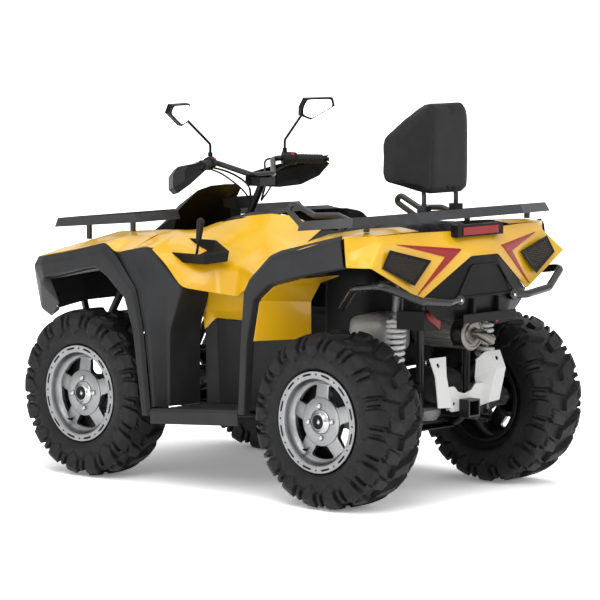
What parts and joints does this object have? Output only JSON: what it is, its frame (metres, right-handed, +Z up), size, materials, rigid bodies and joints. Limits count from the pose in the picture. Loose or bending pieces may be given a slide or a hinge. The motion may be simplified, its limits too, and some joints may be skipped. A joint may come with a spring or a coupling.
{
  "type": "quad bike",
  "caption": "Four-wheeled utility quad bike with handlebar steering, load racks, fairings, passenger backrest and tow receiver.",
  "frame": {"origin": "on the ground under the middle of the machine's box", "axes": "+X forward, +Y to the rider's left, +Z up"},
  "size_m": [1.983, 1.166, 1.4405],
  "materials": {
    "yellow_panel": "glossy amber yellow moulded panel",
    "grey_flare": "fine-grained dark grey plastic",
    "black_plastic": "satin black plastic",
    "rack_coat": "fine-textured black powder coat",
    "black_tube": "gloss black paint",
    "tyre_rubber": "black tread rubber",
    "alloy": "machined and lacquered alloy",
    "cast_grey": "cast grey metal",
    "dark_steel": "dark steel",
    "white_paint": "white paint",
    "stainless": "heat-tinted stainless steel",
    "red_lens": "clear red lens over a deep red reflector",
    "bronze_mesh": "dark bronze mesh",
    "clear_lens": "clear lens",
    "pad_cover": "black coated fabric",
    "grip_rubber": "black moulded rubber"
  },
  "bodies": {
    "chassis": {"frame": "black_tube", "engine": "cast_grey", "final_drives": "cast_grey", "half_shafts": "dark_steel", "suspension_arms": "black_tube", "rear_knuckles": "cast_grey", "shock_absorbers": "dark_steel", "shock_springs": "white_paint", "front_body": "yellow_panel", "side_panels": "yellow_panel", "lower_side_panels": "yellow_panel", "front_flares": "grey_flare", "rear_flares": "grey_flare", "leg_shields": "grey_flare", "side_covers": "grey_flare", "footboards": "grey_flare", "console": "black_plastic", "dash_cowl": "black_plastic", "instrument_pod": "black_plastic", "storage_tray": "black_plastic", "shift_lever": "grip_rubber", "rear_body": "yellow_panel", "arch_liners": "grey_flare", "tail_panel": "black_plastic", "tail_lamps": "red_lens", "tail_grilles": "bronze_mesh", "seat": "pad_cover", "backrest_pad": "pad_cover", "backrest_posts": "black_tube", "rear_rack": "rack_coat", "front_rack": "rack_coat", "grab_bar": "black_tube", "hitch_receiver": "black_tube", "muffler": "stainless", "hitch_plate": "white_paint", "rear_lamps": "red_lens", "headlamps": "clear_lens", "front_fascia": "grey_flare", "front_bumper": "black_tube", "skid_plate": "black_tube"},
    "steering": {"steering_stem": "black_tube", "handlebar": "black_tube", "grips": "grip_rubber", "handguards": "black_plastic", "mirrors": "black_plastic"},
    "left_knuckle": {"front_left_knuckle": "cast_grey"},
    "right_knuckle": {"front_right_knuckle": "cast_grey"},
    "left_link": {"left_tie_rod": "black_tube"},
    "right_link": {"right_tie_rod": "black_tube"},
    "front_left": {"front_left_wheel": "alloy", "front_left_tyre": "tyre_rubber"},
    "front_right": {"front_right_wheel": "alloy", "front_right_tyre": "tyre_rubber"},
    "rear_left": {"rear_left_wheel": "alloy", "rear_left_tyre": "tyre_rubber"},
    "rear_right": {"rear_right_wheel": "alloy", "rear_right_tyre": "tyre_rubber"}
  },
  "joints": [
    {"name": "steering", "type": "hinge", "parent": "chassis", "child": "steering", "pos_m": [0.5, 0, 0.4455], "axis": [-0.4787, 0, 0.878], "range_deg": [-35, 35]},
    {"name": "left_kingpin", "type": "hinge", "parent": "chassis", "child": "left_knuckle", "pos_m": [0.555, 0.428, 0.3175], "axis": [0, 0, 1], "range_deg": [-30, 30]},
    {"name": "left_rod_end", "type": "hinge", "parent": "left_knuckle", "child": "left_link", "pos_m": [0.46, 0.4, 0.3835], "axis": [0, 0, 1], "range_deg": [-30, 30]},
    {"name": "right_kingpin", "type": "hinge", "parent": "chassis", "child": "right_knuckle", "pos_m": [0.555, -0.428, 0.3175], "axis": [0, 0, 1], "range_deg": [-30, 30]},
    {"name": "right_rod_end", "type": "hinge", "parent": "right_knuckle", "child": "right_link", "pos_m": [0.46, -0.4, 0.3835], "axis": [0, 0, 1], "range_deg": [-30, 30]},
    {"name": "front_left_axle", "type": "hinge", "parent": "left_knuckle", "child": "front_left", "pos_m": [0.555, 0.48, 0.3175], "axis": [0, 1, 0], "continuous": true},
    {"name": "front_right_axle", "type": "hinge", "parent": "right_knuckle", "child": "front_right", "pos_m": [0.555, -0.48, 0.3175], "axis": [0, 1, 0], "continuous": true},
    {"name": "rear_left_axle", "type": "hinge", "parent": "chassis", "child": "rear_left", "pos_m": [-0.66, 0.456, 0.3175], "axis": [0, 1, 0], "continuous": true},
    {"name": "rear_right_axle", "type": "hinge", "parent": "chassis", "child": "rear_right", "pos_m": [-0.66, -0.456, 0.3175], "axis": [0, 1, 0], "continuous": true}
  ],
  "couplings": [
    {"joint": "left_kingpin", "follows": "steering", "ratio": 0.85},
    {"joint": "left_rod_end", "follows": "steering", "ratio": -0.85},
    {"joint": "right_kingpin", "follows": "steering", "ratio": 0.85},
    {"joint": "right_rod_end", "follows": "steering", "ratio": -0.85}
  ]
}
